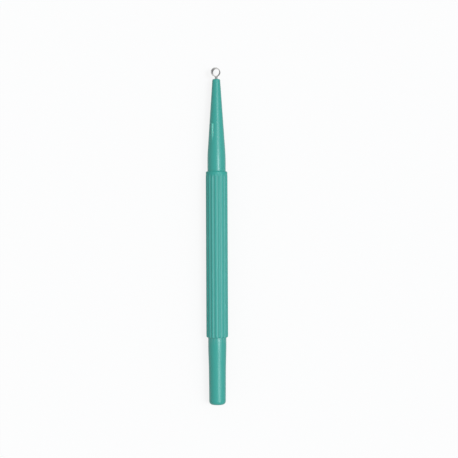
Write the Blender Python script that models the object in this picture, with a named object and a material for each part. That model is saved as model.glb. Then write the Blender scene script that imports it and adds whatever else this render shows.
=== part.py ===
"""Disposable dermal curette: a ring blade set in the nose of a one-piece moulded handle.

The tool lies on two crests of its fluted grip, blade towards +Y, cutting rim up (+Z) and
leaning a little to -X. The blade's own sizes are laid out upright and turned by its roll.
Metres. Origin: middle of the tool's footprint, on the surface that it lies on.
"""
import math

import bmesh
import bpy
from mathutils import Matrix, Vector

MM = 0.001

# Handle, lengths from the tip to the tail end
NOSE_LENGTH = 31.8 * MM
COLLAR_LENGTH = 6.5 * MM
GRIP_LENGTH = 69.0 * MM
TAIL_LENGTH = 27.9 * MM

# Handle, diameters
TIP_DIAMETER = 3.2 * MM
COLLAR_DIAMETER = 7.55 * MM
GRIP_DIAMETER = 9.0 * MM
TAIL_ROOT_DIAMETER = 7.55 * MM
TAIL_WAIST_DIAMETER = 7.08 * MM
TAIL_END_DIAMETER = 6.87 * MM

# Handle, roundings and where the tail starts and ends its taper
TIP_ROUNDING = 0.45 * MM
NOSE_BLEND = 2.4 * MM
SHOULDER_ROUNDING = 0.6 * MM
SHOULDER_ROOT = 0.12 * MM
TAIL_TAPER_START = 3.0 * MM
TAIL_WAIST_AT = 14.0 * MM
TAIL_ROUNDING = 1.4 * MM

# Flutes of the grip: plain band behind the nose shoulder, then a run-in, open at the tail shoulder
FLUTE_COUNT = 18
FLUTE_DEPTH = 0.24 * MM
CREST_WIDTH = 0.45 * MM
PLAIN_BAND = 0.4 * MM
FLUTE_RUN_IN = 1.5 * MM

# Half-round locating rib on the nose, straight, so that it sinks into the taper towards the grip
RIB_START = 18.3 * MM
RIB_SINK = 26.8 * MM
RIB_RADIUS = 0.6 * MM
RIB_ANGLE = math.radians(-37.0)

# Ring blade, folded from one strip
RING_DIAMETER = 3.84 * MM
RING_FLARE = 0.16 * MM
RING_SET = -0.15 * MM
STRIP_THICKNESS = 0.38 * MM
STRIP_WIDTH = 1.8 * MM
SHANK_WIDTH = 1.7 * MM
LEAF_GAP = 0.04 * MM
FOLD_RADIUS = 0.6 * MM
NECK_LENGTH = 0.6 * MM
SHANK_DEPTH = 7.0 * MM
BEVEL_HEIGHT = 0.55 * MM
EDGE_LAND = 0.03 * MM
EDGE_BREAK = 0.012 * MM
STRIP_EDGE_ROUNDING = 0.06 * MM

# Roll of blade and pocket about the handle's axis, and clearance of the shank in its pocket
BLADE_ROLL = math.radians(-16.0)
POCKET_CLEARANCE = 0.05 * MM

# Facets
FLUTE_FACETS = 4
ROUNDING_STEPS = 4
BLEND_STEPS = 5
TAPER_STEPS = 5
RIB_SIDES = 20
RING_STEPS = 72
FOLD_STEPS = 8
SHARP_ANGLE = math.radians(32.0)

HANDLE_LENGTH = NOSE_LENGTH + COLLAR_LENGTH + GRIP_LENGTH + TAIL_LENGTH
GRIP_FRONT = NOSE_LENGTH + COLLAR_LENGTH
GRIP_BACK = GRIP_FRONT + GRIP_LENGTH


def clear_scene():
    for old in list(bpy.data.objects):
        bpy.data.objects.remove(old, do_unlink=True)


def smoothstep(t):
    return t * t * (3.0 - 2.0 * t)


def mix(low, high, share):
    return low + (high - low) * share


def steps(count):
    """Even parameters from 0 to 1, both ends included."""
    return [i / count for i in range(count + 1)]


def extruded_ring(bm, ring):
    """Extrude a closed ring of vertices by nothing and return its copy, in the same order."""
    edges = [bm.edges.get((ring[i - 1], ring[i])) for i in range(len(ring))]
    grown = set(bmesh.ops.extrude_edge_only(bm, edges=edges)["geom"])
    copies = []
    for vert in ring:
        neighbours = [edge.other_vert(vert) for edge in vert.link_edges]
        copies += [other for other in neighbours if other in grown]
    return copies


def loft(name, sections):
    """Extrude a closed section through a row of sections with as many points; cap both ends."""
    bm = bmesh.new()
    ring = [bm.verts.new(point) for point in sections[0]]
    bm.faces.new(ring)
    for section in sections[1:]:
        ring = extruded_ring(bm, ring)
        for vert, point in zip(ring, section):
            vert.co = point
    bm.faces.new(ring)
    bmesh.ops.recalc_face_normals(bm, faces=bm.faces[:])
    mesh = bpy.data.meshes.new(name)
    bm.to_mesh(mesh)
    bm.free()
    mesh.shade_smooth()
    mesh.set_sharp_from_angle(angle=SHARP_ANGLE)
    obj = bpy.data.objects.new(name, mesh)
    bpy.context.scene.collection.objects.link(obj)
    return obj


def combine(obj, other, operation):
    """Join or cut with another shape, which is used up."""
    boolean = obj.modifiers.new(other.name, "BOOLEAN")
    boolean.operation = operation
    boolean.solver = "EXACT"
    boolean.object = other
    with bpy.context.temp_override(object=obj, active_object=obj):
        bpy.ops.object.modifier_apply(modifier=boolean.name)
    bpy.data.objects.remove(other, do_unlink=True)


def principled(name, colour, roughness, metallic):
    material = bpy.data.materials.new(name)
    material.use_nodes = True
    shader = material.node_tree.nodes["Principled BSDF"]
    shader.inputs["Base Color"].default_value = (*colour, 1.0)
    shader.inputs["Roughness"].default_value = roughness
    shader.inputs["Metallic"].default_value = metallic
    return material


# Fluted section of the grip

def band_radius():
    """Radius of the plain band: level with the line between two neighbouring crests."""
    return GRIP_DIAMETER / 2.0 * math.cos(flute_half_angle())


def flute_half_angle():
    """Half of the angle that one flute takes: a pitch less one crest."""
    return math.pi / FLUTE_COUNT - CREST_WIDTH / GRIP_DIAMETER


def flute_radius_at(angle):
    """Distance of the flute's round floor from the handle's axis, at an angle from its middle."""
    crest = GRIP_DIAMETER / 2.0
    half = flute_half_angle()
    across = crest * math.sin(half)
    rise = crest - FLUTE_DEPTH - crest * math.cos(half)
    cutter = -(rise * rise + across * across) / (2.0 * rise)
    centre = crest - FLUTE_DEPTH + cutter
    return centre * math.cos(angle) - math.sqrt(cutter ** 2 - (centre * math.sin(angle)) ** 2)


def section_angles():
    """Angles and full flute depths round the handle; one flute's middle is straight down."""
    half = flute_half_angle()
    crest = GRIP_DIAMETER / 2.0
    pattern = [mix(-half, half, t) for t in steps(FLUTE_FACETS)]
    result = []
    for flute in range(FLUTE_COUNT):
        middle = 2.0 * math.pi * flute / FLUTE_COUNT
        for offset in pattern:
            result.append((middle + offset, crest - flute_radius_at(offset)))
        result.append((middle + math.pi / FLUTE_COUNT, 0.0))
    return result


def axis_height():
    """Height of the handle's axis when the grip lies on its two lowest crests."""
    return band_radius()


def rolled(point):
    """Point of the blade or its pocket, turned about the handle's axis by the blade's roll."""
    middle = Vector((0.0, 0.0, axis_height()))
    return middle + Matrix.Rotation(BLADE_ROLL, 3, "Y") @ (Vector(point) - middle)


def tip_y():
    """Half of the overall length, less what the blade adds in front of the tip."""
    blade_reach = ring_centre_reach() + RING_DIAMETER / 2.0
    return (HANDLE_LENGTH + blade_reach) / 2.0 - blade_reach


def handle_section(back, radius, flute_share):
    """Closed section of the handle at a distance behind the tip."""
    crest = GRIP_DIAMETER / 2.0
    y = tip_y() - back
    points = []
    for angle, depth in section_angles():
        r = min(radius, mix(band_radius(), crest - depth, flute_share))
        points.append((r * math.sin(angle), y, axis_height() - r * math.cos(angle)))
    return points


# Outline of the handle, as (distance behind the tip, radius, share of the flute depth)

def nose_radius(back):
    """Radius of the straight taper of the nose."""
    slope = (COLLAR_DIAMETER - TIP_DIAMETER) / 2.0 / NOSE_LENGTH
    return TIP_DIAMETER / 2.0 + slope * back


def nose_outline():
    """Rounded tip, straight taper, and a soft blend into the collar."""
    slope = (COLLAR_DIAMETER - TIP_DIAMETER) / 2.0 / NOSE_LENGTH
    stations = []
    for t in steps(ROUNDING_STEPS):
        back = TIP_ROUNDING * (1.0 - math.cos(t * math.pi / 2.0))
        shrink = TIP_ROUNDING * (1.0 - math.sin(t * math.pi / 2.0))
        stations.append((back, nose_radius(back) - shrink, 0.0))
    start = NOSE_LENGTH - NOSE_BLEND
    for t in steps(TAPER_STEPS)[1:-1]:
        back = TIP_ROUNDING + (start - TIP_ROUNDING) * t
        stations.append((back, nose_radius(back), 0.0))
    for t in steps(BLEND_STEPS):
        along = 2.0 * NOSE_BLEND * t
        rise = slope * along * (1.0 - t / 2.0)
        stations.append((start + along, nose_radius(start) + rise, 0.0))
    return stations


def shoulder_outline(face, root_radius, top_radius, side):
    """Step between a plain stretch and the grip; side is +1 when the grip lies behind the face."""
    stations = []
    for t in steps(ROUNDING_STEPS - 1):
        a = t * math.pi / 2.0
        back = face - side * SHOULDER_ROOT * (1.0 - math.sin(a))
        stations.append((back, root_radius + SHOULDER_ROOT * (1.0 - math.cos(a))))
    for t in steps(ROUNDING_STEPS):
        a = t * math.pi / 2.0
        back = face + side * SHOULDER_ROUNDING * (1.0 - math.cos(a))
        stations.append((back, top_radius - SHOULDER_ROUNDING * (1.0 - math.sin(a))))
    return stations if side > 0 else stations[::-1]


def grip_outline():
    """Front shoulder, plain band, run-in of the flutes, and the open back shoulder."""
    crest = GRIP_DIAMETER / 2.0
    front = shoulder_outline(GRIP_FRONT, COLLAR_DIAMETER / 2.0, band_radius(), 1)
    back = shoulder_outline(GRIP_BACK, TAIL_ROOT_DIAMETER / 2.0, crest, -1)
    run_start = GRIP_FRONT + SHOULDER_ROUNDING + PLAIN_BAND
    run_in = [(run_start + FLUTE_RUN_IN * t, crest, smoothstep(t)) for t in steps(BLEND_STEPS)]
    stations = [(place, radius, 0.0) for place, radius in front]
    stations += run_in
    stations += [(place, radius, 1.0) for place, radius in back]
    return stations


def tail_outline():
    """Plain root, taper to the waist, slight taper to the rounded end."""
    root = TAIL_ROOT_DIAMETER / 2.0
    waist = TAIL_WAIST_DIAMETER / 2.0
    end = TAIL_END_DIAMETER / 2.0
    stations = []
    for t in steps(BLEND_STEPS):
        back = GRIP_BACK + TAIL_TAPER_START + (TAIL_WAIST_AT - TAIL_TAPER_START) * t
        stations.append((back, mix(root, waist, smoothstep(t)), 0.0))
    for t in reversed(steps(ROUNDING_STEPS + 1)):
        a = t * math.pi / 2.0
        back = HANDLE_LENGTH - TAIL_ROUNDING * (1.0 - math.cos(a))
        stations.append((back, end - TAIL_ROUNDING * (1.0 - math.sin(a)), 0.0))
    return stations


def handle_body():
    outline = nose_outline() + grip_outline() + tail_outline()
    return loft("handle", [handle_section(*station) for station in outline])


# Locating rib on the nose and pocket in its tip

def locating_rib():
    """Round bar with a ball end, parallel to the axis, its crest level with the taper at RIB_SINK."""
    crest = nose_radius(RIB_SINK)
    out = Vector((math.sin(RIB_ANGLE), 0.0, math.cos(RIB_ANGLE)))
    centre = Vector((0.0, tip_y(), axis_height())) + out * (crest - RIB_RADIUS)
    profile = []
    for t in steps(ROUNDING_STEPS + 1):
        a = math.pi / 2.0 * (0.1 + 0.9 * t)
        profile.append((RIB_START + RIB_RADIUS * (1.0 - math.cos(a)), RIB_RADIUS * math.sin(a)))
    profile.append((RIB_SINK + RIB_RADIUS, RIB_RADIUS))
    sections = []
    for back, radius in profile:
        spin = Matrix.Rotation(2.0 * math.pi / RIB_SIDES, 4, "Y")
        spoke = out * radius
        ring = []
        for _ in range(RIB_SIDES):
            ring.append(centre + spoke - Vector((0.0, back, 0.0)))
            spoke = spin @ spoke
        sections.append(ring)
    return loft("locating_rib_shape", sections)


def shank_pocket():
    """Blind pocket for the two leaves of the shank, open at the tip."""
    half_x = STRIP_THICKNESS + LEAF_GAP / 2.0 + POCKET_CLEARANCE
    half_z = SHANK_WIDTH / 2.0 + POCKET_CLEARANCE
    floor_y = tip_y() - SHANK_DEPTH - POCKET_CLEARANCE
    mouth_y = tip_y() + TIP_ROUNDING
    sections = []
    for y in (floor_y, mouth_y):
        corners = ((-half_x, -half_z), (half_x, -half_z), (half_x, half_z), (-half_x, half_z))
        sections.append([rolled((x, y, axis_height() + z)) for x, z in corners])
    return loft("shank_pocket_shape", sections)


def make_handle(material):
    handle = handle_body()
    combine(handle, locating_rib(), "UNION")
    combine(handle, shank_pocket(), "DIFFERENCE")
    handle.data.set_sharp_from_angle(angle=SHARP_ANGLE)
    handle.data.materials.append(material)
    return handle


# Ring blade: the strip follows one line in plan, its outer face at mid width

def loop_radius():
    """Radius of the loop's outer face at mid width; the flare adds its half at the cutting rim."""
    return (RING_DIAMETER - RING_FLARE) / 2.0


def leaf_x():
    """Distance of a leaf's outer face from the middle plane of the neck."""
    return STRIP_THICKNESS + LEAF_GAP / 2.0


def fold_drop(side):
    """How far the fold between loop and leaf lies below the loop's centre, side +1 or -1."""
    reach = loop_radius() + FOLD_RADIUS
    across = side * (leaf_x() + FOLD_RADIUS) - RING_SET
    return math.sqrt(reach * reach - across * across)


def ring_centre_reach():
    """Distance of the loop's centre in front of the tip."""
    return NECK_LENGTH + max(fold_drop(1), fold_drop(-1))


def fold_centre(side):
    y = tip_y() + ring_centre_reach() - fold_drop(side)
    return Vector((side * (leaf_x() + FOLD_RADIUS), y, 0.0))


def direction(angle):
    return Vector((math.cos(angle), math.sin(angle), 0.0))


def strip_stations():
    """Points of the strip's line with outward directions and a share, 1 on the loop, 0 on a leaf."""
    centre = Vector((RING_SET, tip_y() + ring_centre_reach(), 0.0))
    right, left = fold_centre(1), fold_centre(-1)
    start = math.atan2(right.y - centre.y, right.x - centre.x)
    finish = math.atan2(left.y - centre.y, left.x - centre.x) + 2.0 * math.pi
    end_y = tip_y() - SHANK_DEPTH
    stations = [(Vector((leaf_x(), end_y, 0.0)), Vector((1.0, 0.0, 0.0)), 0.0)]
    for t in steps(FOLD_STEPS):
        turn = direction(math.pi + start * t)
        stations.append((right + turn * FOLD_RADIUS, -turn, smoothstep(t)))
    for t in steps(RING_STEPS)[1:-1]:
        out = direction(start + (finish - start) * t)
        stations.append((centre + out * loop_radius(), out, 1.0))
    for t in steps(FOLD_STEPS):
        turn = direction((finish - math.pi) * (1.0 - t))
        stations.append((left + turn * FOLD_RADIUS, -turn, smoothstep(1.0 - t)))
    stations.append((Vector((-leaf_x(), end_y, 0.0)), Vector((-1.0, 0.0, 0.0)), 0.0))
    return stations


def strip_section(point, out, share):
    """Section across the strip: ground from the inside to a thin land on the loop's upper rim."""
    t = STRIP_THICKNESS
    r = STRIP_EDGE_ROUNDING
    half = mix(SHANK_WIDTH, STRIP_WIDTH, share) / 2.0
    edge = mix(r, EDGE_BREAK, share)
    land = mix(t - r, EDGE_LAND, share)
    bevel = mix(r, BEVEL_HEIGHT, share)
    outline = (
        (r - t, -half),
        (-r, -half),
        (0.0, r - half),
        (0.0, half - edge),
        (-edge, half),
        (-land, half),
        (-t, half - bevel),
        (-t, r - half),
    )
    points = []
    for depth, height in outline:
        lean = RING_FLARE * share * height / (2.0 * half)
        upright = point + out * (depth + lean) + Vector((0.0, 0.0, axis_height() + height))
        points.append(rolled(upright))
    return points


def make_ring_blade(material):
    blade = loft("ring_blade", [strip_section(*station) for station in strip_stations()])
    blade.data.materials.append(material)
    return blade


clear_scene()
make_handle(principled("teal_plastic", (0.07, 0.35, 0.29), 0.35, 0.0))
make_ring_blade(principled("ground_steel", (0.62, 0.62, 0.63), 0.24, 1.0))
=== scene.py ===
import math

import bmesh
import bpy
from bpy.props import FloatProperty, FloatVectorProperty, IntProperty, PointerProperty
from mathutils import Matrix, Vector


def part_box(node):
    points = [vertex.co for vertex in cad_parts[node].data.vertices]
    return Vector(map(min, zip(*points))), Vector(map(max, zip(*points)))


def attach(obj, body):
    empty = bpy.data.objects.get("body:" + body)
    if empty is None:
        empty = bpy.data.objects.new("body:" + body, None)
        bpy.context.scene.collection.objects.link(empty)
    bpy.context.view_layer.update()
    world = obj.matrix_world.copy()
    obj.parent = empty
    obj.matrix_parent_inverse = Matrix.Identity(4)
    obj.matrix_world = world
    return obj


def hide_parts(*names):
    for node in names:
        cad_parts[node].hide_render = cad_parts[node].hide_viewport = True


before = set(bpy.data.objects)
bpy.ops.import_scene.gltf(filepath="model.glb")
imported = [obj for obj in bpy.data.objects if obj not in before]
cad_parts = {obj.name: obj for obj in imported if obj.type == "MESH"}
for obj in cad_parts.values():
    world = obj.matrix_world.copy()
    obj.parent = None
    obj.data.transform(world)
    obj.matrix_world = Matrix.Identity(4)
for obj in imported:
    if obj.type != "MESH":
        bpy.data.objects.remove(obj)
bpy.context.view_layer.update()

bl_info = {
    "name": "Dermal Curette",
    "version": (1, 0, 0),
    "blender": (4, 5, 0),
    "location": "3D View > Sidebar > Curette",
    "description": "Moulds the fluted handle, folds the ring blade and sets the studio for them",
    "category": "Object",
}

MM = 0.001

# What model.glb gives: the handle's axis, tip, length and widest radius, and the blade's front
HANDLE_LOW, HANDLE_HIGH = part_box("handle")
AXIS_HEIGHT = (HANDLE_LOW.z + HANDLE_HIGH.z) / 2.0
TIP_Y = HANDLE_HIGH.y
HANDLE_LENGTH = HANDLE_HIGH.y - HANDLE_LOW.y
CREST_RADIUS = (HANDLE_HIGH.x - HANDLE_LOW.x) / 2.0
BLADE_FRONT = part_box("ring_blade")[1].y

# How finely the surfaces are drawn
GROOVE_STEPS = 12
CREST_STEPS = 8
ROUNDING_STEPS = 12
BLEND_STEPS = 14
RIB_SPACING = 0.1 * MM
HOLD = 0.06 * MM
LONG_GAP = 4.0 * HOLD
LOOP_STEPS = 240
FOLD_STEPS = 24
EDGE_STEPS = 5
BEVEL_STEPS = 6
SHARP_ANGLE = math.radians(35.0)
FLOOR_CELLS = 4

# How steeply the rib's reach falls beyond its foot, and the smallest number that divides
RIB_FALL = 4.0
TINY = 1e-6

# Textures: how often the noise repeats in a metre, along X, Y and Z or along and round the strip
MELT_STREAKS = (260.0, 22.0, 260.0)
DRAWN_LINES = (2600.0, 90.0, 2600.0)
GRAIN = 5200.0
PEEL = 900.0
LINES_ACROSS = (9000.0, 500.0, 1.0)
LINES_AROUND = (500.0, 9000.0, 1.0)
PATCHES = 1400.0

# Parts of a noise's range that are drawn out: most of its values, or only its crests
NOISE_BULK = (0.3, 0.7)
NOISE_CRESTS = (0.45, 0.75)
MELT_CRESTS = (0.35, 0.75)

# How far a second colour takes over at most (melt streaks, painted shade in the rib's crease, painted sheen
# in the flutes), and the rib heights between which the rib's painted highlight does
MELT_SHARE = 0.55
CREASE_SHADE_SHARE = 0.85
GROOVE_SHARE = 0.85
RIB_HEIGHTS = (0.05, 0.4)
NECK_STREAKS = 0.1

# How far the textures shift the roughness
DRAWN_GLOSS = (-0.05, 0.06)
GRAIN_GLOSS = (-0.03, 0.03)
LINE_GLOSS = (-0.06, 0.08)
PATCH_GLOSS = (-0.03, 0.03)

# Strengths and heights of the bumps; the grain is weaker on the plain stretches than on the grip
GRAIN_STRENGTHS = (0.05, 0.45)
GRAIN_HEIGHT = 0.02 * MM
PEEL_STRENGTH = 0.12
PEEL_HEIGHT = 0.03 * MM
LINE_STRENGTH = 0.25
LINE_HEIGHT = 0.004 * MM

# Values that are the same all over a surface; the bevel's gloss is turned by a quarter of a turn
PLASTIC_IOR = 1.56
FLOOR_ROUGHNESS = 0.9
QUARTER_TURN = 0.25

# Camera: width of its sensor in millimetres, and the distances that it takes in
SENSOR_WIDTH = 36.0
CLIP_START = 10.0 * MM
CLIP_END = 20000.0 * MM


# Properties

def length(name, description, millimetres):
    return FloatProperty(
        name=name, description=description, default=millimetres * MM,
        min=0.0, unit="LENGTH", subtype="DISTANCE", precision=5)


def offset(name, description, millimetres):
    return FloatProperty(
        name=name, description=description, default=millimetres * MM,
        unit="LENGTH", subtype="DISTANCE", precision=5)


def turn(name, description, degrees):
    return FloatProperty(
        name=name, description=description, default=math.radians(degrees),
        unit="ROTATION", subtype="ANGLE")


def strength(name, description, value):
    return FloatProperty(name=name, description=description, default=value, min=0.0)


def share(name, description, value):
    return FloatProperty(
        name=name, description=description, default=value, min=0.0, max=1.0, subtype="FACTOR")


def colour(name, description, value):
    return FloatVectorProperty(
        name=name, description=description, default=value, size=3, min=0.0, max=1.0, subtype="COLOR")


class HandleSizes(bpy.types.PropertyGroup):
    """Sizes of the moulded handle."""
    nose_length: length("Nose", "Tip to the collar", 31.8)
    collar_length: length("Collar", "Plain collar in front of the grip", 6.5)
    grip_length: length("Grip", "Fluted grip between its two shoulders", 69.0)
    tip_diameter: length("Tip diameter", "Taper's diameter at the tip", 3.2)
    collar_diameter: length("Collar diameter", "Plain collar in front of the grip", 7.55)
    tail_root_diameter: length("Tail root", "Tail's diameter at the grip", 7.55)
    tail_waist_diameter: length("Tail waist", "Tail's diameter where its taper eases", 7.08)
    tail_end_diameter: length("Tail end", "Tail's diameter at its rounded end", 6.87)
    tip_rounding: length("Tip rounding", "Radius of the tip's edge", 0.45)
    nose_blend: length("Nose blend", "Half of the soft blend of nose and collar", 2.4)
    shoulder_rounding: length("Shoulder rounding", "Radius of the grip's two shoulders", 0.6)
    shoulder_root: length("Shoulder root", "Fillet at the foot of a shoulder", 0.12)
    tail_taper_start: length("Taper start", "Plain stretch behind the grip", 3.0)
    tail_waist_at: length("Waist place", "Distance of the waist behind the grip", 14.0)
    tail_rounding: length("Tail rounding", "Radius of the tail end's edge", 1.4)
    flute_count: IntProperty(name="Flutes", description="Flutes round the grip", default=18, min=6)
    flute_depth: length("Flute depth", "Depth of a flute at its middle", 0.24)
    crest_width: length("Crest width", "Land between two flutes", 0.45)
    crest_softness: length("Crest softness", "How far a crest's edges are rounded", 0.035)
    plain_band: length("Plain band", "Smooth band behind the front shoulder", 0.4)
    flute_run_in: length("Run-in", "Length in which the flutes reach their depth", 1.5)
    rib_start: length("Rib start", "Blunt end of the locating rib, behind the tip", 18.3)
    rib_sink: length("Rib sink", "Where the rib has sunk into the taper", 26.8)
    rib_radius: length("Rib radius", "Radius of the half-round rib", 0.6)
    rib_fillet: length("Rib fillet", "Softness of the rib's root", 0.05)
    # Reach of the painted shade in the corner at the rib's foot
    crease_width: length("Rib crease", "Reach of the darker corner at the rib's foot", 0.16)
    rib_angle: turn("Rib angle", "Turn of the rib from straight up", -37.0)
    pocket_break: length("Pocket edge", "Broken edge at the pocket's mouth", 0.03)
    seam_height: length("Seam height", "Parting line, above the plain stretches", 0.012)
    seam_width: length("Seam width", "Parting line, half of its foot", 0.07)


class BladeSizes(bpy.types.PropertyGroup):
    """Sizes of the ring blade, which is folded from one strip."""
    ring_diameter: length("Ring", "Outer diameter at the cutting rim", 3.84)
    ring_flare: length("Flare", "How much the rim is wider than the lower edge", 0.16)
    ring_set: offset("Set", "Ring's place to the side of the handle's axis", -0.15)
    roll: turn("Roll", "Turn of the blade and its pocket about the handle's axis", -16.0)
    strip_thickness: length("Strip thickness", "Thickness of the strip", 0.38)
    strip_width: length("Strip width", "Width of the strip on the loop", 1.8)
    shank_width: length("Shank width", "Width of the strip in the handle", 1.7)
    leaf_gap: length("Leaf gap", "Hairline between the two leaves", 0.04)
    fold_radius: length("Fold radius", "Outer radius of the folds at the neck", 0.6)
    shank_depth: length("Shank depth", "Length of the shank in the handle", 7.0)
    pocket_clearance: length("Pocket clearance", "Gap between the shank and the handle's pocket", 0.05)
    bevel_height: length("Bevel", "Height of the ground bevel inside the rim", 0.55)
    edge_land: length("Land", "Width left at the cutting edge", 0.03)
    edge_break: length("Edge break", "Broken outer corner of the cutting edge", 0.012)
    strip_edge: length("Strip edge", "Rounding of the strip's other edges", 0.06)


class Finishes(bpy.types.PropertyGroup):
    """Colours and gloss of the plastic and the steel."""
    plastic: colour("Plastic", "Teal of the moulding", (0.02, 0.352, 0.298))
    # Painted sheen: paler teal in the flutes' floors that lifts their shade
    flute_painted_sheen: colour("Plastic in the flutes", "Teal in the flutes' floors", (0.085, 0.388, 0.35))
    plastic_pale: colour("Plastic streak", "Paler streaks of the melt", (0.035, 0.385, 0.33))
    # Painted highlight: paler teal on the rib that stands in for the light on its lit face
    rib_painted_highlight: colour("Plastic of the rib", "Paler teal of the thin rib", (0.075, 0.53, 0.43))
    # Painted shade: dark teal in the corner at the rib's foot, where shade falls
    crease_painted_shade: colour("Plastic of the crease", "Dark corner at the rib's foot", (0.008, 0.13, 0.105))
    nose_roughness: share("Plain gloss", "Roughness of nose, collar and tail", 0.34)
    grip_roughness: share("Grip gloss", "Roughness of the textured grip", 0.52)
    strip: colour("Strip", "Ground steel of the strip's faces", (0.7, 0.69, 0.68))
    # Streak colours: the darker grinding streaks, and also the dark end of the painted reflection round the
    # loop and on the neck
    strip_streak_and_shade: colour("Strip streak", "Darker grinding streaks of the faces", (0.042, 0.04, 0.042))
    bevel: colour("Bevel", "Freshly ground steel of the bevel", (0.8, 0.79, 0.775))
    bevel_streak_and_shade: colour("Bevel streak", "Darker grinding streaks of the bevel", (0.17, 0.166, 0.17))
    # Painted reflection: the steel's tone swings twice round the loop, darkest at the given place along the
    # strip and half a turn further
    painted_reflection_swing: share("Uneven finish", "How much the steel's tone swings round the loop", 0.8)
    painted_reflection_at: length("Uneven place", "Distance along the strip to a darker stretch", 15.5)
    # Painted dark reflection on the neck's leaves
    neck_painted_reflection: share("Neck", "How dark the neck's leaves are, which keep a duller finish", 0.62)
    strip_roughness: share("Strip gloss", "Roughness of the strip's faces", 0.48)
    bevel_roughness: share("Bevel gloss", "Roughness of the ground bevel", 0.5)
    strip_spread: share("Strip spread", "How much the strip's grinding lines stretch its gloss", 0.45)
    bevel_spread: share("Bevel spread", "How much the bevel's grinding lines stretch its gloss", 0.75)


class StudioSettings(bpy.types.PropertyGroup):
    """Camera, floor and soft light."""
    camera_distance: length("Camera distance", "Camera above the handle's axis", 500.0)
    frame_width: length("Picture width", "Width that the picture takes in at the handle's axis", 190.5)
    aim_x: offset("Aim X", "Picture's middle to the right of the object's", 5.07)
    aim_y: offset("Aim Y", "Picture's middle in front of the object's", 2.91)
    camera_roll: turn("Camera roll", "Roll that leans the tip to the left", -0.24)
    camera_tilt: turn("Camera tilt", "Camera's swing to the left about the handle", 4.0)
    floor: colour("Floor", "Pale floor", (0.985, 0.985, 0.985))
    floor_lift: share("Floor lift", "How far the floor's colour shows through its shadows", 0.85)
    floor_bounce: share("Floor bounce", "How much of its light the floor throws back on the object", 0.1)
    floor_size: length("Floor size", "Side of the floor", 6000.0)
    key_strength: strength("Key", "Small lamp right of overhead, which draws the bright line", 0.42)
    key_spread: turn("Key spread", "Width of the lamp, seen from the object", 14.0)
    key_right: turn("Key right", "Lean to the right of straight above", 11.0)
    key_front: turn("Key front", "Lean towards the blade", 4.0)
    side_strength: strength("Side", "Lamp to the right of the key, which widens the bright line", 0.88)
    side_spread: turn("Side spread", "Width of the lamp, seen from the object", 16.0)
    side_right: turn("Side right", "Lean to the right of straight above", 22.0)
    side_front: turn("Side front", "Lean towards the blade", 0.0)
    soft_strength: strength("Soft", "Broad lamp further to the right", 0.4)
    soft_spread: turn("Soft spread", "Width of the lamp, seen from the object", 36.0)
    soft_right: turn("Soft right", "Lean to the right of straight above", 34.0)
    soft_front: turn("Soft front", "Lean towards the blade", 0.0)
    lamp_colour: colour("Lamp colour", "Cool white of the lamps", (0.92, 0.96, 1.0))
    world_strength: strength("Room", "Even light from all round", 0.5)


# Small helpers

def steps(count):
    """Even parameters from 0 to 1, both ends included."""
    return [i / count for i in range(count + 1)]


def mix(low, high, part):
    """Value that lies a part of the way from low to high."""
    return low + (high - low) * part


def smoothstep(t):
    """Ease t in and out between 0 and 1."""
    return t * t * (3.0 - 2.0 * t)


def soft_min(a, b, softness):
    """Smaller of two values, rounded over where they meet."""
    overlap = max(softness - abs(a - b), 0.0) / softness
    return min(a, b) - overlap * overlap * softness / 4.0


def soft_max(a, b, softness):
    """Larger of two values, rounded over where they meet."""
    return -soft_min(-a, -b, softness)


def fan(bm, ring, centre):
    """Close the end of a skin with a fan of triangles."""
    middle = bm.verts.new(centre)
    for i, vert in enumerate(ring):
        bm.faces.new((ring[i - 1], vert, middle))


def finished_object(name, bm):
    """Turn a bmesh into an object that is shaded smooth up to its sharp edges."""
    bmesh.ops.recalc_face_normals(bm, faces=bm.faces[:])
    mesh = bpy.data.meshes.new(name)
    bm.to_mesh(mesh)
    bm.free()
    mesh.shade_smooth()
    mesh.set_sharp_from_angle(angle=SHARP_ANGLE)
    obj = bpy.data.objects.new(name, mesh)
    bpy.context.scene.collection.objects.link(obj)
    return obj


# Handle

def groove_angle(s):
    """Half of the angle that one flute takes."""
    return math.pi / s.flute_count - s.crest_width / (2.0 * CREST_RADIUS)


def band_radius(s):
    """Radius of the plain band, level with the line between two crests."""
    return CREST_RADIUS * math.cos(groove_angle(s))


def fluted_radius(s, angle):
    """Radius of the full fluted section at an angle from a flute's middle."""
    half = groove_angle(s)
    across = CREST_RADIUS * math.sin(half)
    rise = CREST_RADIUS - s.flute_depth - CREST_RADIUS * math.cos(half)
    cutter = -(rise * rise + across * across) / (2.0 * rise)
    centre = CREST_RADIUS - s.flute_depth + cutter
    root = max(cutter ** 2 - (centre * math.sin(angle)) ** 2, 0.0)
    floor = centre * math.cos(angle) - math.sqrt(root)
    return soft_min(CREST_RADIUS, floor, s.crest_softness)


def section_angles(s):
    """Angles round the handle with the full fluted radius there; one flute's middle is straight down."""
    half = groove_angle(s)
    pitch = 2.0 * math.pi / s.flute_count
    offsets = [mix(-half, half, t) for t in steps(GROOVE_STEPS)]
    offsets += [mix(half, pitch - half, t) for t in steps(CREST_STEPS)[1:-1]]
    result = []
    for flute in range(s.flute_count):
        for place in offsets:
            from_middle = min(abs(place), abs(pitch - place))
            result.append((flute * pitch + place, fluted_radius(s, from_middle)))
    return result


def nose_radius(s, back):
    """Radius of the nose's straight taper at a distance behind the tip."""
    slope = (s.collar_diameter - s.tip_diameter) / 2.0 / s.nose_length
    return s.tip_diameter / 2.0 + slope * back


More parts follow.
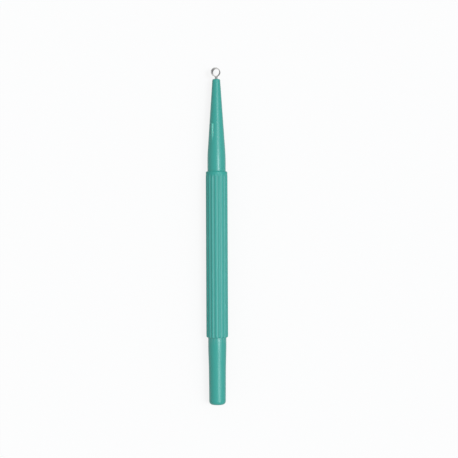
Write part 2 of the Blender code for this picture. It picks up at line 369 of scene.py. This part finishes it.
def nose_outline(s):
    """Rounded tip, straight taper with close stations at the rib, and a soft blend into the collar."""
    slope = (s.collar_diameter - s.tip_diameter) / 2.0 / s.nose_length
    stations = []
    for t in steps(ROUNDING_STEPS):
        back = s.tip_rounding * (1.0 - math.cos(t * math.pi / 2.0))
        shrink = s.tip_rounding * (1.0 - math.sin(t * math.pi / 2.0))
        stations.append((back, nose_radius(s, back) - shrink, 0.0))
    rib_from = s.rib_start - s.rib_fillet
    rib_to = s.rib_sink + s.rib_radius
    for t in steps(round((rib_to - rib_from) / RIB_SPACING)):
        back = mix(rib_from, rib_to, t)
        stations.append((back, nose_radius(s, back), 0.0))
    start = s.nose_length - s.nose_blend
    for t in steps(BLEND_STEPS):
        along = 2.0 * s.nose_blend * t
        stations.append((start + along, nose_radius(s, start) + slope * along * (1.0 - t / 2.0), 0.0))
    return stations


def shoulder_outline(s, face, root_radius, top_radius, side):
    """Step between a plain stretch and the grip; side is +1 when the grip lies behind the face."""
    stations = []
    for t in steps(ROUNDING_STEPS // 2):
        a = t * math.pi / 2.0
        back = face - side * s.shoulder_root * (1.0 - math.sin(a))
        stations.append((back, root_radius + s.shoulder_root * (1.0 - math.cos(a))))
    for t in steps(ROUNDING_STEPS):
        a = t * math.pi / 2.0
        back = face + side * s.shoulder_rounding * (1.0 - math.cos(a))
        stations.append((back, top_radius - s.shoulder_rounding * (1.0 - math.sin(a))))
    return stations if side > 0 else stations[::-1]


def grip_outline(s):
    """Front shoulder, plain band, run-in of the flutes, and the open back shoulder."""
    grip_front = s.nose_length + s.collar_length
    grip_back = grip_front + s.grip_length
    front = shoulder_outline(s, grip_front, s.collar_diameter / 2.0, band_radius(s), 1)
    back = shoulder_outline(s, grip_back, s.tail_root_diameter / 2.0, CREST_RADIUS, -1)
    run_start = grip_front + s.shoulder_rounding + s.plain_band
    stations = [(place, radius, 0.0) for place, radius in front]
    for t in steps(BLEND_STEPS):
        stations.append((run_start + s.flute_run_in * t, CREST_RADIUS, smoothstep(t)))
    stations += [(place, radius, 1.0) for place, radius in back]
    return stations


def tail_outline(s):
    """Plain root, taper to the waist, slight taper to the rounded end."""
    grip_back = s.nose_length + s.collar_length + s.grip_length
    root, waist, end = (d / 2.0 for d in (s.tail_root_diameter, s.tail_waist_diameter, s.tail_end_diameter))
    stations = []
    for t in steps(BLEND_STEPS):
        back = grip_back + mix(s.tail_taper_start, s.tail_waist_at, t)
        stations.append((back, mix(root, waist, smoothstep(t)), 0.0))
    for t in reversed(steps(ROUNDING_STEPS)):
        a = t * math.pi / 2.0
        back = HANDLE_LENGTH - s.tail_rounding * (1.0 - math.cos(a))
        stations.append((back, end - s.tail_rounding * (1.0 - math.sin(a)), 0.0))
    return stations


def held(stations):
    """Add a station close to each end of a long stretch, so that its shading stays straight."""
    result = [stations[0]]
    for near, far in zip(stations, stations[1:]):
        gap = far[0] - near[0]
        if gap > LONG_GAP:
            for part in (HOLD / gap, 1.0 - HOLD / gap):
                result.append(tuple(mix(a, b, part) for a, b in zip(near, far)))
        result.append(far)
    return result


def rib_section(s, back):
    """Distance of the rib's axis from the handle's, and the rib's half width."""
    into_ball = min(back - s.rib_start - s.rib_radius, 0.0)
    return nose_radius(s, s.rib_sink) - s.rib_radius, math.sqrt(max(s.rib_radius ** 2 - into_ball ** 2, 0.0))


def from_rib(s, angle):
    """Turn an angle from straight down into one from the rib's middle."""
    return math.remainder(angle - math.pi + s.rib_angle, 2.0 * math.pi)


def crease_shade_share(s, back, angle):
    """Share of the painted shade in the corner between rib and taper: 1 there, 0 beyond it; it fades as the
    rib sinks.
    """
    centre, bar = rib_section(s, back)
    squared = bar ** 2 - (nose_radius(s, back) - centre) ** 2
    if squared <= 0.0 or abs(angle) > math.pi / 2.0:
        return 0.0
    from_foot = abs(abs(nose_radius(s, back) * math.sin(angle)) - math.sqrt(squared))
    fading = (s.rib_sink - back) / (s.rib_sink - s.rib_start)
    return fading * max(1.0 - from_foot / s.crease_width, 0.0)


def rib_reach(s, back, angle):
    """Distance from the handle's axis to the rib's surface; angle is measured from the rib's middle."""
    centre, bar = rib_section(s, back)
    aside = abs(centre * math.sin(angle))
    if abs(angle) > math.pi / 2.0 or bar == 0.0:
        return 0.0
    if aside < bar:
        return centre * math.cos(angle) + math.sqrt(bar ** 2 - aside ** 2)
    return max(centre * math.cos(angle) - RIB_FALL * (aside - bar), 0.0)


def seam_rise(s, angle, radius):
    """Parting line of the mould along both sides of the plain stretches."""
    aside = abs(abs(angle) - math.pi / 2.0) * radius
    return s.seam_height * max(1.0 - aside / s.seam_width, 0.0)


def surface_radius(s, station, angle, fluted):
    """Radius of the handle at a station and an angle measured from straight down."""
    back, radius, flute_share = station
    section = mix(band_radius(s), fluted, flute_share)
    if flute_share > 0.0:
        return soft_min(radius, section, s.crest_softness) if radius < CREST_RADIUS else section
    turned = math.remainder(angle, 2.0 * math.pi)
    plain = min(radius, section)
    if s.rib_start - s.rib_fillet < back < s.rib_sink + s.rib_radius:
        plain = soft_max(plain, rib_reach(s, back, from_rib(s, angle)), s.rib_fillet)
    if s.tip_rounding < back < HANDLE_LENGTH - s.tail_rounding:
        plain += seam_rise(s, turned, plain)
    return plain


def pocket_depth(b):
    return b.shank_depth + b.pocket_clearance


def pocket_radius(b, angle, grow):
    """Outline of the rectangular pocket as a radius at an angle measured from its own straight down."""
    grow += b.pocket_clearance
    across = (leaf_x(b) + grow) / max(abs(math.sin(angle)), TINY)
    upright = (b.shank_width / 2.0 + grow) / max(abs(math.cos(angle)), TINY)
    return min(across, upright)


def handle_point(back, radius, angle):
    """Point at a distance behind the tip, a radius and an angle from straight down."""
    return Vector((radius * math.sin(angle), TIP_Y - back, AXIS_HEIGHT - radius * math.cos(angle)))


def pocket_rings(s, b, angles):
    """Pocket from its floor to its mouth, as rings of (point, groove, grip, rib, crease)."""
    depth = pocket_depth(b)
    places = ((depth, 0.0), (depth - HOLD, 0.0), (s.pocket_break, 0.0), (0.0, s.pocket_break))
    rings = []
    for back, grow in places:
        ring = []
        for angle, _ in angles:
            radius = pocket_radius(b, angle + b.roll, grow)
            ring.append((handle_point(back, radius, angle), 0.0, 0.0, 0.0, 0.0))
        rings.append(ring)
    return rings


def handle_rings(s, b):
    """Rings of (point, groove, grip, rib, crease): shares of flute depth, texture, rib height and painted
    shade in the rib's crease.
    """
    angles = section_angles(s)
    rings = pocket_rings(s, b, angles)
    grip_front = s.nose_length + s.collar_length
    for station in held(nose_outline(s) + grip_outline(s) + tail_outline(s)):
        ring = []
        for angle, fluted in angles:
            radius = surface_radius(s, station, angle, fluted)
            groove = station[2] * (CREST_RADIUS - fluted) / s.flute_depth
            grip = float(grip_front <= station[0] <= grip_front + s.grip_length)
            rib = max(radius - station[1], 0.0) / s.rib_radius
            crease = crease_shade_share(s, station[0], from_rib(s, angle))
            ring.append((handle_point(station[0], radius, angle), groove, grip, rib, crease))
        rings.append(ring)
    return rings


def moulded_handle(s, b):
    """Skin from the pocket's floor, round the tip and along the handle to the tail's end."""
    bm = bmesh.new()
    layers = [bm.verts.layers.float.new(name) for name in ("groove", "grip", "rib", "crease")]
    previous = None
    for ring in handle_rings(s, b):
        verts = []
        for point, *shares in ring:
            vert = bm.verts.new(point)
            for layer, value in zip(layers, shares):
                vert[layer] = value
            verts.append(vert)
        if previous is None:
            fan(bm, verts, handle_point(pocket_depth(b), 0.0, 0.0))
        else:
            for i in range(len(verts)):
                bm.faces.new((previous[i - 1], previous[i], verts[i], verts[i - 1]))
        previous = verts
    fan(bm, previous, handle_point(HANDLE_LENGTH, 0.0, 0.0))
    return finished_object("moulded_handle", bm)


# Ring blade: the strip follows one line in plan, its outer face at mid width, and is then rolled

def loop_radius(b):
    """Radius of the loop's outer face at mid width."""
    return (b.ring_diameter - b.ring_flare) / 2.0


def leaf_x(b):
    """Distance of a leaf's outer face from the middle plane of the neck."""
    return b.strip_thickness + b.leaf_gap / 2.0


def ring_centre(b):
    """Middle of the loop in plan, from the blade's foremost point in the frame."""
    return Vector((b.ring_set, BLADE_FRONT - b.ring_diameter / 2.0, 0.0))


def fold_centre(b, side):
    """Middle of the fold between loop and leaf, side +1 or -1."""
    centre = ring_centre(b)
    x = side * (leaf_x(b) + b.fold_radius)
    reach = loop_radius(b) + b.fold_radius
    return Vector((x, centre.y - math.sqrt(reach ** 2 - (x - centre.x) ** 2), 0.0))


def direction(angle):
    """Unit vector in plan at an angle from +X."""
    return Vector((math.cos(angle), math.sin(angle), 0.0))


def strip_stations(b):
    """Points of the strip's line with outward directions and a share, 1 on the loop, 0 on a leaf."""
    centre, right, left = ring_centre(b), fold_centre(b, 1), fold_centre(b, -1)
    start = math.atan2(right.y - centre.y, right.x - centre.x)
    finish = math.atan2(left.y - centre.y, left.x - centre.x) + 2.0 * math.pi
    end_y = TIP_Y - b.shank_depth
    out = Vector((1.0, 0.0, 0.0))
    stations = []
    for y in (end_y, end_y + HOLD, right.y - HOLD):
        stations.append((Vector((leaf_x(b), y, 0.0)), out, 0.0))
    for t in steps(FOLD_STEPS):
        turned = direction(math.pi + start * t)
        stations.append((right + turned * b.fold_radius, -turned, smoothstep(t)))
    for t in steps(LOOP_STEPS)[1:-1]:
        outward = direction(mix(start, finish, t))
        stations.append((centre + outward * loop_radius(b), outward, 1.0))
    for t in steps(FOLD_STEPS):
        turned = direction((finish - math.pi) * (1.0 - t))
        stations.append((left + turned * b.fold_radius, -turned, smoothstep(1.0 - t)))
    for y in (left.y - HOLD, end_y + HOLD, end_y):
        stations.append((Vector((-leaf_x(b), y, 0.0)), -out, 0.0))
    return stations


def strip_outline(b, loop_share):
    """Section across the strip as (depth, height, ground), from the inner lower corner round to the bevel."""
    t, r = b.strip_thickness, b.strip_edge
    half = mix(b.shank_width, b.strip_width, loop_share) / 2.0
    edge = mix(r, b.edge_break, loop_share)
    quarter = [part * math.pi / 2.0 for part in steps(EDGE_STEPS)]
    points = [(r - t - r * math.cos(a), r - half - r * math.sin(a), False) for a in quarter]
    points += [(r * math.sin(a) - r, r - half - r * math.cos(a), False) for a in quarter]
    points += [(edge * math.cos(a) - edge, half - edge + edge * math.sin(a), False) for a in quarter]
    for part in steps(BEVEL_STEPS):
        a = part * math.pi / 2.0
        straight = (mix(-b.edge_land, -t, part), half - b.bevel_height * part)
        rounded = (r - t - r * math.sin(a), half - r + r * math.cos(a))
        depth, height = (mix(soft, ground, loop_share) for soft, ground in zip(rounded, straight))
        points.append((depth, height, loop_share > 0.0 and part < 1.0))
    return points


def strip_ring(b, station):
    """Points of the section at a station, with their distances round it and whether each is ground."""
    point, outward, loop_share = station
    spin = Matrix.Rotation(b.roll, 3, "Y")
    outline = strip_outline(b, loop_share)
    half = max(height for _, height, _ in outline)
    ring = []
    around = 0.0
    before = outline[0]
    for depth, height, ground in outline:
        lean = b.ring_flare * loop_share * height / (2.0 * half)
        around += math.hypot(depth - before[0], height - before[1])
        before = (depth, height)
        upright = point + outward * (depth + lean) + Vector((0.0, 0.0, height))
        ring.append((spin @ upright + Vector((0.0, 0.0, AXIS_HEIGHT)), around, ground))
    return ring


def folded_blade(b):
    """Skin over the strip's sections; its UV map holds the place on the strip in metres."""
    bm = bmesh.new()
    strip_map = bm.loops.layers.uv.new("strip")
    on_loop = bm.verts.layers.float.new("loop")
    stations = strip_stations(b)
    previous, previous_ring, along = None, None, 0.0
    for index, station in enumerate(stations):
        ring = strip_ring(b, station)
        verts = [bm.verts.new(place) for place, _, _ in ring]
        for vert in verts:
            vert[on_loop] = station[2]
        if previous is None:
            bm.faces.new(verts)
        else:
            run = (station[0] - stations[index - 1][0]).length
            for i in range(len(verts)):
                face = bm.faces.new((previous[i - 1], previous[i], verts[i], verts[i - 1]))
                face.material_index = int(ring[i - 1][2] and previous_ring[i - 1][2])
                first = ring[i - 1][1]
                last = ring[i][1] if i > 0 else first + b.strip_width
                places = ((along, first), (along, last), (along + run, last), (along + run, first))
                for corner, place in zip(face.loops, places):
                    corner[strip_map].uv = place
            along += run
        previous, previous_ring = verts, ring
    bm.faces.new(previous)
    return finished_object("folded_ring_blade", bm)


# Materials

class Nodes:
    """Short way to add and join the nodes of one material."""

    def __init__(self, name):
        self.material = bpy.data.materials.new(name)
        self.material.use_nodes = True
        self.tree = self.material.node_tree
        self.shader = self.tree.nodes["Principled BSDF"]

    def add(self, kind, inputs=(), **settings):
        """Add a node; inputs gives its sockets a value or another node's output."""
        node = self.tree.nodes.new(kind)
        for key, value in settings.items():
            setattr(node, key, value)
        for socket, value in dict(inputs).items():
            if isinstance(value, bpy.types.NodeSocket):
                self.tree.links.new(value, node.inputs[socket])
            else:
                node.inputs[socket].default_value = value
        return node

    def attribute(self, name):
        return self.add("ShaderNodeAttribute", attribute_name=name).outputs["Fac"]

    def stretched(self, coordinate, scale):
        node = self.add("ShaderNodeMapping", {"Vector": coordinate, "Scale": scale})
        return node.outputs["Vector"]

    def noise(self, coordinate, scale, detail=2.0, roughness=0.5):
        inputs = {"Vector": coordinate, "Scale": scale, "Detail": detail, "Roughness": roughness}
        return self.add("ShaderNodeTexNoise", inputs).outputs["Fac"]

    def remap(self, value, low, high, from_low=0.0, from_high=1.0):
        inputs = {"Value": value, "From Min": from_low, "From Max": from_high, "To Min": low, "To Max": high}
        return self.add("ShaderNodeMapRange", inputs).outputs["Result"]

    def maths(self, operation, a, b):
        return self.add("ShaderNodeMath", {0: a, 1: b}, operation=operation).outputs["Value"]

    def blend(self, factor, first, second):
        node = self.add("ShaderNodeMix", {"Factor": factor, "A": first, "B": second})
        return node.outputs["Result"]

    def blend_colours(self, factor, first, second):
        node = self.add("ShaderNodeMix", data_type="RGBA")
        self.tree.links.new(factor, node.inputs[0])
        for socket, value in ((node.inputs[6], first), (node.inputs[7], second)):
            if isinstance(value, bpy.types.NodeSocket):
                self.tree.links.new(value, socket)
            else:
                socket.default_value = (*value, 1.0)
        return node.outputs[2]

    def bump(self, height, strength, distance, normal=None):
        inputs = {"Height": height, "Strength": strength, "Distance": distance}
        if normal is not None:
            inputs["Normal"] = normal
        return self.add("ShaderNodeBump", inputs).outputs["Normal"]

    def feed(self, socket, value):
        self.tree.links.new(value, self.shader.inputs[socket])


def teal_plastic(f):
    """Moulded plastic: satin texture on the grip, glossier plain stretches, faint streaks of the melt."""
    n = Nodes("teal_plastic")
    place = n.add("ShaderNodeTexCoord").outputs["Object"]
    groove, grip = n.attribute("groove"), n.attribute("grip")
    streaks = n.noise(n.stretched(place, MELT_STREAKS), 1.0, detail=3.0)
    drawn = n.noise(n.stretched(place, DRAWN_LINES), 1.0)
    grain = n.noise(place, GRAIN, roughness=0.6)
    peel = n.noise(place, PEEL, detail=1.0)

    melt = n.blend_colours(n.remap(streaks, 0.0, MELT_SHARE, *MELT_CRESTS), f.plastic, f.plastic_pale)
    # Painted highlight on the rib, paler the higher the rib stands
    plain = n.blend_colours(n.remap(n.attribute("rib"), 0.0, 1.0, *RIB_HEIGHTS), melt, f.rib_painted_highlight)
    # Painted shade in the corner at the rib's foot
    shaded = n.blend_colours(n.remap(n.attribute("crease"), 0.0, CREASE_SHADE_SHARE), plain, f.crease_painted_shade)
    # Painted sheen in the flutes' floors, paler than the plastic
    n.feed("Base Color", n.blend_colours(n.remap(groove, 0.0, GROOVE_SHARE), shaded, f.flute_painted_sheen))

    gloss = n.blend(grip, f.nose_roughness, f.grip_roughness)
    worn = n.maths("ADD", gloss, n.remap(drawn, *DRAWN_GLOSS, *NOISE_BULK))
    n.feed("Roughness", n.maths("ADD", worn, n.remap(grain, *GRAIN_GLOSS, *NOISE_BULK)))

    texture = n.bump(grain, n.remap(grip, *GRAIN_STRENGTHS), GRAIN_HEIGHT)
    n.feed("Normal", n.bump(peel, PEEL_STRENGTH, PEEL_HEIGHT, texture))
    n.shader.inputs["Metallic"].default_value = 0.0
    n.shader.inputs["IOR"].default_value = PLASTIC_IOR
    return n.material


def ground_steel(f, b, kind, stretch, rotation):
    """Steel of the strip's faces or of its bevel: fine grinding lines, and a painted reflection that makes it
    darker twice round the loop and on the neck's leaves.
    """
    n = Nodes("ground_" + kind)
    # The dark colour is both the grinding streaks and the dark end of the painted reflection
    light, dark = getattr(f, kind), getattr(f, kind + "_streak_and_shade")
    glossier, duller = (getattr(f, kind + "_roughness") + shift for shift in LINE_GLOSS)
    strip = n.add("ShaderNodeUVMap", uv_map="strip").outputs["UV"]
    lines = n.noise(n.stretched(strip, stretch), 1.0, detail=4.0, roughness=0.65)
    patches = n.noise(strip, PATCHES)

    # Painted reflection: the tone swings darker twice round the loop
    along = n.add("ShaderNodeSeparateXYZ", {"Vector": strip}).outputs["X"]
    turned = n.maths("MULTIPLY", n.maths("SUBTRACT", along, f.painted_reflection_at), 2.0 / loop_radius(b))
    swing = n.remap(n.maths("COSINE", turned, 0.0), 0.0, f.painted_reflection_swing, -1.0, 1.0)
    swinging = n.maths("ADD", n.remap(lines, 0.0, 1.0 - f.painted_reflection_swing, *NOISE_CRESTS), swing)
    # Painted dark reflection on the neck's leaves, with their grinding streaks
    neck = n.remap(lines, f.neck_painted_reflection - NECK_STREAKS, f.neck_painted_reflection + NECK_STREAKS, *NOISE_CRESTS)
    darker = n.blend(n.attribute("loop"), neck, swinging)
    n.feed("Base Color", n.blend_colours(darker, light, dark))

    ground = n.remap(lines, glossier, duller, *NOISE_BULK)
    n.feed("Roughness", n.maths("ADD", ground, n.remap(patches, *PATCH_GLOSS, *NOISE_BULK)))
    n.feed("Normal", n.bump(lines, LINE_STRENGTH, LINE_HEIGHT))
    tangent = n.add("ShaderNodeTangent", direction_type="UV_MAP", uv_map="strip").outputs["Tangent"]
    n.feed("Tangent", tangent)
    n.shader.inputs["Metallic"].default_value = 1.0
    n.shader.inputs["Anisotropic"].default_value = getattr(f, kind + "_spread")
    n.shader.inputs["Anisotropic Rotation"].default_value = rotation
    return n.material


def seen_share(tree):
    """1 where the camera or a mirroring or clear surface looks, 0 for the light that falls on the object."""
    path = tree.nodes.new("ShaderNodeLightPath")
    seen = path.outputs["Is Camera Ray"]
    for kind in ("Is Glossy Ray", "Is Transmission Ray"):
        larger = tree.nodes.new("ShaderNodeMath")
        larger.operation = "MAXIMUM"
        tree.links.new(seen, larger.inputs[0])
        tree.links.new(path.outputs[kind], larger.inputs[1])
        seen = larger.outputs["Value"]
    return seen


def plain_floor(studio):
    """Pale floor, seen directly and in reflections with its shadows lifted; it throws little light back."""
    n = Nodes("pale_floor")
    seen = seen_share(n.tree)
    shown = [part * (1.0 - studio.floor_lift) for part in studio.floor]
    thrown = [part * studio.floor_bounce for part in studio.floor]
    n.feed("Base Color", n.blend_colours(seen, thrown, shown))
    n.shader.inputs["Emission Color"].default_value = (*studio.floor, 1.0)
    n.feed("Emission Strength", n.maths("MULTIPLY", seen, studio.floor_lift))
    n.shader.inputs["Roughness"].default_value = FLOOR_ROUGHNESS
    n.shader.inputs["Specular IOR Level"].default_value = 0.0
    return n.material


# Operators

class CURETTE_OT_handle(bpy.types.Operator):
    """Mould the handle: nose with its rib, collar, fluted grip and tail."""
    bl_idname = "curette.handle"
    bl_label = "Mould the handle"

    def execute(self, context):
        scene = context.scene
        handle = moulded_handle(scene.curette_handle, scene.curette_blade)
        handle.data.materials.append(teal_plastic(scene.curette_finishes))
        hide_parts("handle")
        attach(handle, "root")
        return {"FINISHED"}


class CURETTE_OT_blade(bpy.types.Operator):
    """Fold the ring blade from its strip and grind its bevel."""
    bl_idname = "curette.blade"
    bl_label = "Fold the ring blade"

    def execute(self, context):
        f, b = context.scene.curette_finishes, context.scene.curette_blade
        blade = folded_blade(b)
        for kind, lines, rotation in (("strip", LINES_ACROSS, 0.0), ("bevel", LINES_AROUND, QUARTER_TURN)):
            blade.data.materials.append(ground_steel(f, b, kind, lines, rotation))
        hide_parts("ring_blade")
        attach(blade, "root")
        return {"FINISHED"}


def add_floor(studio):
    """Flat floor at the height on which the object lies."""
    bm = bmesh.new()
    half = studio.floor_size / 2.0
    bmesh.ops.create_grid(bm, x_segments=FLOOR_CELLS, y_segments=FLOOR_CELLS, size=half)
    floor = finished_object("floor", bm)
    floor.data.materials.append(plain_floor(studio))


def add_lamp(studio, name):
    """Soft round lamp far away, leaning from straight above."""
    light = bpy.data.lights.new(name, "SUN")
    light.color = studio.lamp_colour
    light.energy = getattr(studio, name + "_strength")
    light.angle = getattr(studio, name + "_spread")
    lamp = bpy.data.objects.new(name, light)
    right, front = getattr(studio, name + "_right"), getattr(studio, name + "_front")
    to_light = Vector((math.tan(right), math.tan(front), 1.0))
    lamp.rotation_mode = "QUATERNION"
    lamp.rotation_quaternion = to_light.to_track_quat("Z", "Y")
    bpy.context.scene.collection.objects.link(lamp)


def add_world(strength):
    """White room, seen at full white and lighting the object at the given strength."""
    world = bpy.data.worlds.new("studio")
    world.use_nodes = True
    tree = world.node_tree
    background = tree.nodes["Background"]
    background.inputs["Color"].default_value = (1.0, 1.0, 1.0, 1.0)
    level = tree.nodes.new("ShaderNodeMapRange")
    level.inputs["To Min"].default_value = strength
    level.inputs["To Max"].default_value = 1.0
    tree.links.new(seen_share(tree), level.inputs["Value"])
    tree.links.new(level.outputs["Result"], background.inputs["Strength"])
    bpy.context.scene.world = world


def add_camera(studio):
    """Camera above the handle, looking down, swung a little to the left about the handle."""
    camera = bpy.data.cameras.new("camera")
    camera.sensor_width = SENSOR_WIDTH
    camera.lens = SENSOR_WIDTH * studio.camera_distance / studio.frame_width
    camera.clip_start = CLIP_START
    camera.clip_end = CLIP_END
    holder = bpy.data.objects.new("camera", camera)
    aim = Matrix.Translation((studio.aim_x, studio.aim_y, AXIS_HEIGHT))
    swing = Matrix.Rotation(-studio.camera_tilt, 4, "Y")
    roll = Matrix.Rotation(studio.camera_roll, 4, "Z")
    away = Matrix.Translation((0.0, 0.0, studio.camera_distance))
    holder.matrix_world = aim @ swing @ roll @ away
    bpy.context.scene.collection.objects.link(holder)
    bpy.context.scene.camera = holder


class CURETTE_OT_studio(bpy.types.Operator):
    """Lay the floor and set the lights and the camera that looks down on the object."""
    bl_idname = "curette.studio"
    bl_label = "Set the studio"

    def execute(self, context):
        studio = context.scene.curette_studio
        add_floor(studio)
        for name in LAMPS:
            add_lamp(studio, name)
        add_world(studio.world_strength)
        add_camera(studio)
        context.scene.view_settings.view_transform = "Standard"
        return {"FINISHED"}


class CURETTE_PT_panel(bpy.types.Panel):
    """Steps that build the dressed curette, with its sizes and finishes."""
    bl_idname = "CURETTE_PT_panel"
    bl_label = "Dermal curette"
    bl_space_type = "VIEW_3D"
    bl_region_type = "UI"
    bl_category = "Curette"

    def draw(self, context):
        for step in STEPS:
            self.layout.operator(step.bl_idname)
        for name, group in SETTINGS.items():
            box = self.layout.box()
            box.label(text=group.__doc__)
            for key in group.__annotations__:
                box.prop(getattr(context.scene, name), key)


LAMPS = ("key", "side", "soft")
STEPS = (CURETTE_OT_handle, CURETTE_OT_blade, CURETTE_OT_studio)
SETTINGS = {
    "curette_handle": HandleSizes,
    "curette_blade": BladeSizes,
    "curette_finishes": Finishes,
    "curette_studio": StudioSettings,
}
CLASSES = (*SETTINGS.values(), *STEPS, CURETTE_PT_panel)


def register():
    for cls in CLASSES:
        bpy.utils.register_class(cls)
    for name, group in SETTINGS.items():
        setattr(bpy.types.Scene, name, PointerProperty(type=group))


def unregister():
    for name in SETTINGS:
        delattr(bpy.types.Scene, name)
    for cls in reversed(CLASSES):
        bpy.utils.unregister_class(cls)


def main():
    register()
    bpy.ops.curette.handle()
    bpy.ops.curette.blade()
    bpy.ops.curette.studio()


if __name__ == "__main__":
    main()
